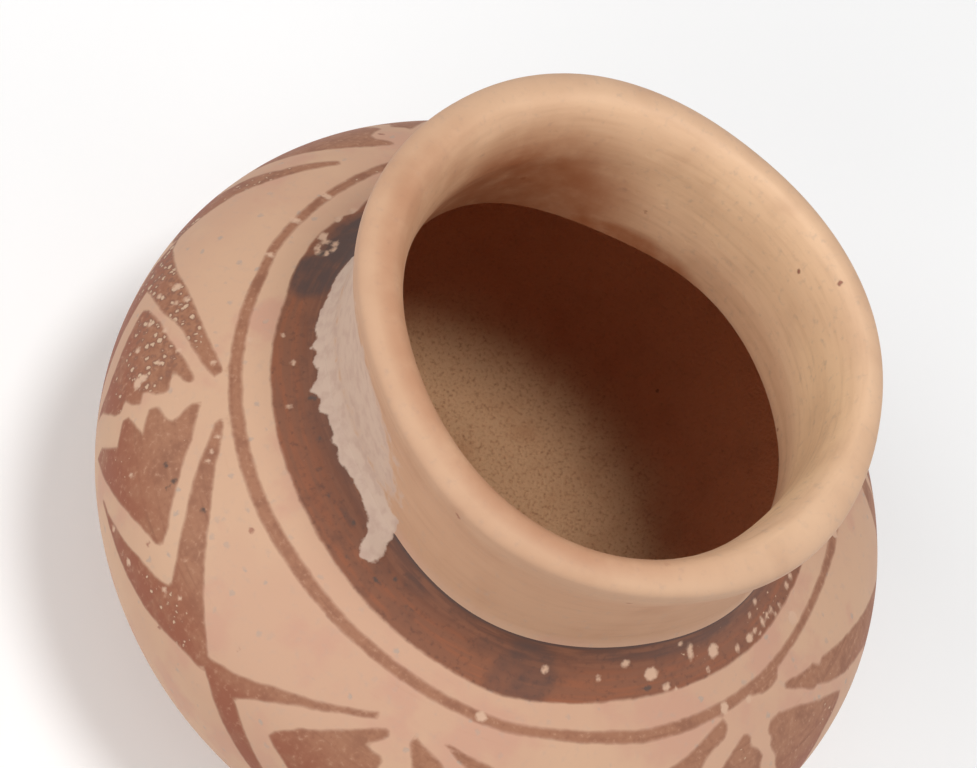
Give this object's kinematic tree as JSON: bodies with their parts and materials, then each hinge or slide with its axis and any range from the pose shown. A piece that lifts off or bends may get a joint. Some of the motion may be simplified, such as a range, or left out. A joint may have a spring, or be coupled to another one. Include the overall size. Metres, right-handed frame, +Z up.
{
  "type": "pottery jar",
  "caption": "Round-bellied hand-built clay jar with a small flat foot, a sloping shoulder, a short flaring neck and a thick rolled lip.",
  "frame": {"origin": "centre of the flat foot, on the surface that the jar stands on", "axes": "+Z up along the jar's axis, out of the mouth; X and Y level"},
  "size_m": [0.1602, 0.1602, 0.1171],
  "materials": {
    "body_clay": "unglazed buff slip, stone-polished, worn matt",
    "rim_clay": "unglazed pale slip, polished to a soft sheen"
  },
  "bodies": {
    "root": {"base_patch": "body_clay", "lower_coil_1": "body_clay", "lower_coil_2": "body_clay", "belly_coil": "body_clay", "shoulder_coil_1": "body_clay", "shoulder_coil_2": "body_clay", "neck_coil": "rim_clay", "rim_coil": "rim_clay"}
  },
  "joints": []
}
